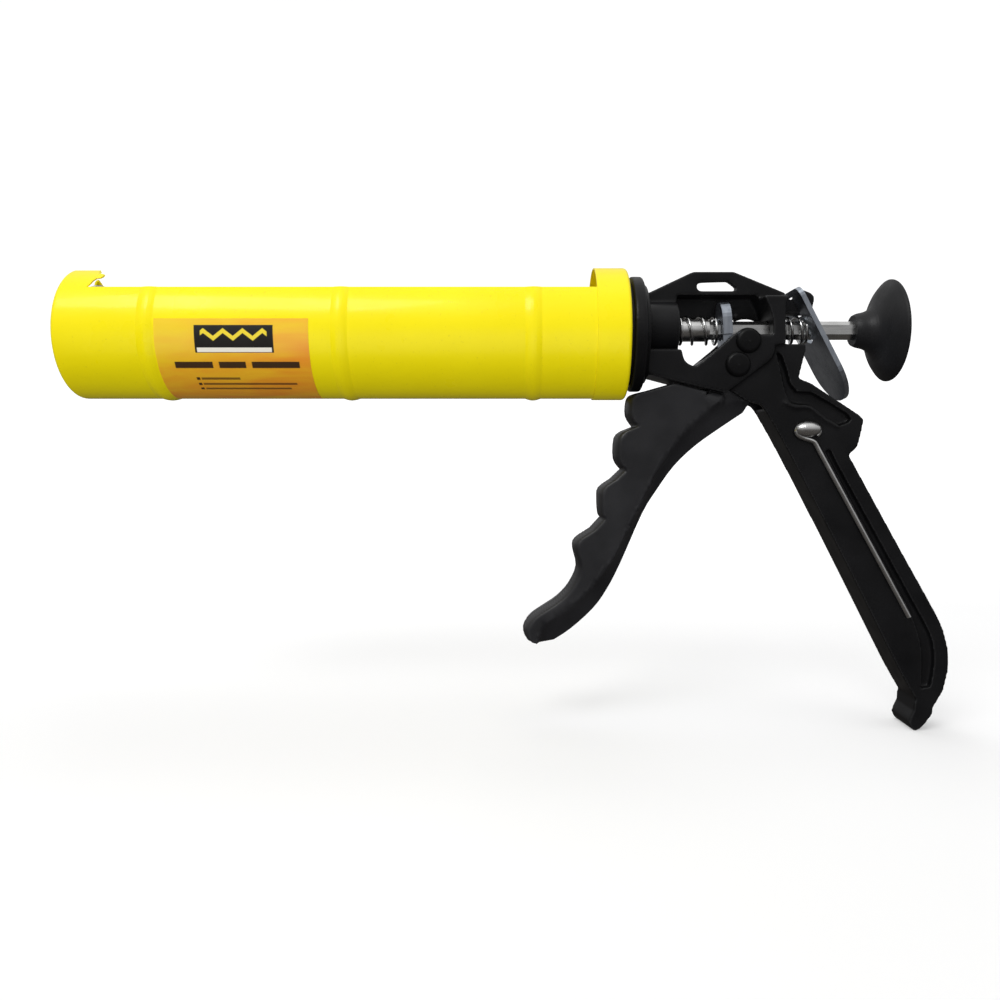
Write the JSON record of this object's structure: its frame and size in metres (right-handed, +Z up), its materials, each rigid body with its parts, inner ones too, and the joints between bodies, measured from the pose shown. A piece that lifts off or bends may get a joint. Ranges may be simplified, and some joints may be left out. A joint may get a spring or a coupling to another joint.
{
  "type": "caulking gun",
  "caption": "Caulking gun: half-open cradle barrel with slotted front cup, hexagon push rod with plunger and pull knob, cast frame and grip, squeeze trigger, release plate, piercing wire.",
  "frame": {"origin": "on the barrel's axis, at the front face of the frame's flange, which the barrel is bolted to", "axes": "+X back along the barrel towards the pull knob, +Z up, away from the grip, and +Y to the side away from the piercing wire"},
  "size_m": [0.3738, 0.0574, 0.1984],
  "materials": {
    "yellow_paint": "glossy enamel on sheet steel",
    "label_print": "printed film label, satin",
    "black_casting": "satin black coated casting",
    "black_plastic": "satin moulded plastic",
    "zinc_steel": "bright zinc plate",
    "spring_steel": "bright nickel plated wire"
  },
  "bodies": {
    "frame": {"frame": "black_casting", "trigger_pin": "black_casting", "cheek_plugs": "black_casting", "spring_sleeve": "zinc_steel", "drive_spring": "spring_steel", "release_spring": "spring_steel", "wire_rivet": "zinc_steel", "barrel_washer": "zinc_steel", "barrel_nut": "zinc_steel", "spacer_ring": "black_plastic"},
    "barrel": {"barrel": "yellow_paint", "front_cap": "yellow_paint", "rear_collar": "yellow_paint", "label": "label_print"},
    "trigger": {"trigger": "black_casting"},
    "drive_plate": {"drive_plate": "zinc_steel"},
    "release_plate": {"release_plate": "zinc_steel"},
    "push_rod": {"push_rod": "zinc_steel", "knob": "black_plastic", "plunger_plate": "zinc_steel", "plunger_washer": "zinc_steel", "plunger_nut": "zinc_steel"},
    "seal_wire": {"seal_wire": "zinc_steel"}
  },
  "joints": [
    {"name": "trigger_squeeze", "type": "hinge", "parent": "frame", "child": "trigger", "pos_m": [0.0451, 0, -0.014], "axis": [0, -1, 0], "range_deg": [0, 28], "stiffness_Nm_per_rad": 0.6, "springref_deg": -20.05},
    {"name": "drive_plate_slide", "type": "slide", "parent": "frame", "child": "drive_plate", "axis": [-1, 0, 0], "range_m": [0, 0.0046], "deforming": ["drive_spring"]},
    {"name": "rod_slide", "type": "slide", "parent": "frame", "child": "push_rod", "axis": [1, 0, 0], "range_m": [-0.0035, 0.213]},
    {"name": "release_tilt", "type": "hinge", "parent": "frame", "child": "release_plate", "pos_m": [0.0713, 0, 0.0152], "axis": [0, 1, 0], "range_deg": [0, 4], "stiffness_Nm_per_rad": 0.4, "springref_deg": -11.46, "deforming": ["release_spring"]},
    {"name": "barrel_swivel", "type": "hinge", "parent": "frame", "child": "barrel", "pos_m": [0, 0, 0], "axis": [1, 0, 0], "continuous": true},
    {"name": "seal_wire_swing", "type": "hinge", "parent": "frame", "child": "seal_wire", "pos_m": [0.075, -0.01, -0.0423], "axis": [0, -1, 0], "range_deg": [0, 60]}
  ],
  "couplings": [
    {"joint": "drive_plate_slide", "follows": "trigger_squeeze", "m_per_rad": 0.0088}
  ]
}
